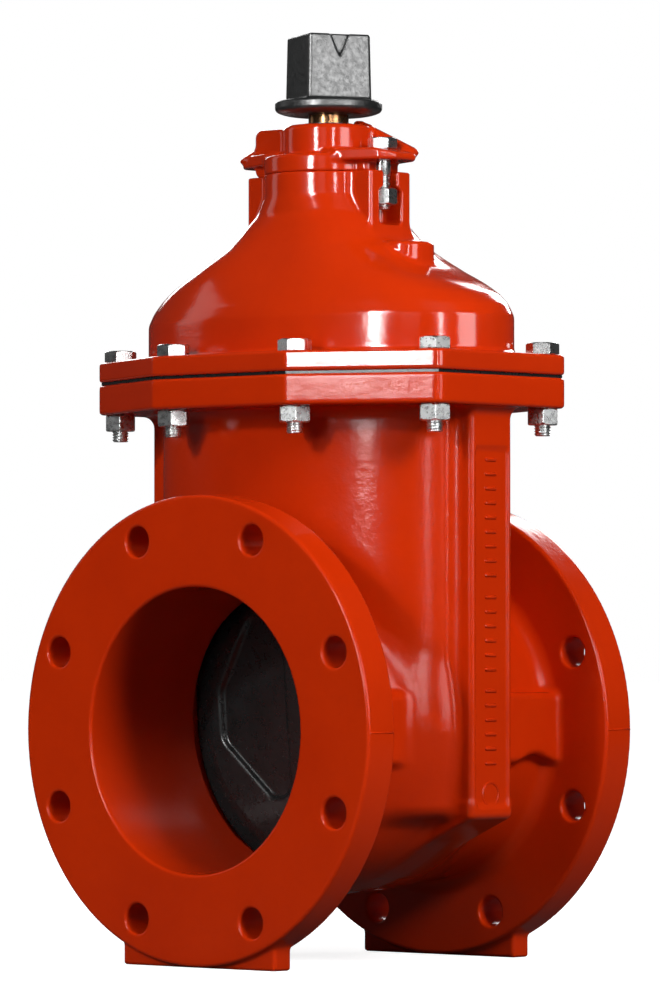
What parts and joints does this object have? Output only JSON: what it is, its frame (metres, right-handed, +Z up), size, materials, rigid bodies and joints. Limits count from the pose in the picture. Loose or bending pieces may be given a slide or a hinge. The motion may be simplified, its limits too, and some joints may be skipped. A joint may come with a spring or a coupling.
{
  "type": "flanged gate valve",
  "caption": "Flanged gate valve for underground water mains: red cast body and bonnet, rubber-faced wedge, non-rising bronze stem and black square operating nut.",
  "frame": {"origin": "middle of the valve at the underside of its two feet, straight below the stem", "axes": "+Z up along the stem, +Y along the pipe towards the outlet flange, +X across the pipe through a guide rib"},
  "size_m": [0.345, 0.2922, 0.6884],
  "materials": {
    "red_paint": "gloss epoxy on cast iron",
    "zinc_steel": "bright zinc",
    "black_rubber": "satin",
    "bronze": "turned bronze",
    "black_iron": "black enamel",
    "nylon": "matte"
  },
  "bodies": {
    "valve_body": {"body": "red_paint", "bonnet": "red_paint", "bonnet_gasket": "black_rubber", "bonnet_bolts": "zinc_steel", "bonnet_nuts": "zinc_steel", "seal_plate": "red_paint", "seal_plate_o_ring": "black_rubber", "seal_plate_bolts": "zinc_steel", "seal_plate_nuts": "zinc_steel", "wiper_ring": "black_rubber", "stem_o_ring_upper": "black_rubber", "stem_o_ring_lower": "black_rubber", "stem_bushing": "bronze", "thrust_washer_upper": "bronze", "thrust_washer_lower": "bronze"},
    "stem_assembly": {"stem": "bronze", "operating_nut": "black_iron", "nut_screw": "zinc_steel", "nut_washer": "zinc_steel"},
    "wedge": {"wedge_core": "black_iron", "wedge_rubber": "black_rubber", "stem_nut": "bronze", "wedge_shoe_left": "nylon", "wedge_shoe_right": "nylon"}
  },
  "joints": [
    {"name": "stem_turn", "type": "hinge", "parent": "valve_body", "child": "stem_assembly", "pos_m": [0, 0, 0.6], "axis": [0, 0, 1], "range_deg": [0, 9720]},
    {"name": "wedge_lift", "type": "slide", "parent": "valve_body", "child": "wedge", "axis": [0, 0, 1], "range_m": [0, 0.216]}
  ],
  "couplings": [
    {"joint": "stem_turn", "follows": "wedge_lift", "rad_per_m": 785.4}
  ]
}
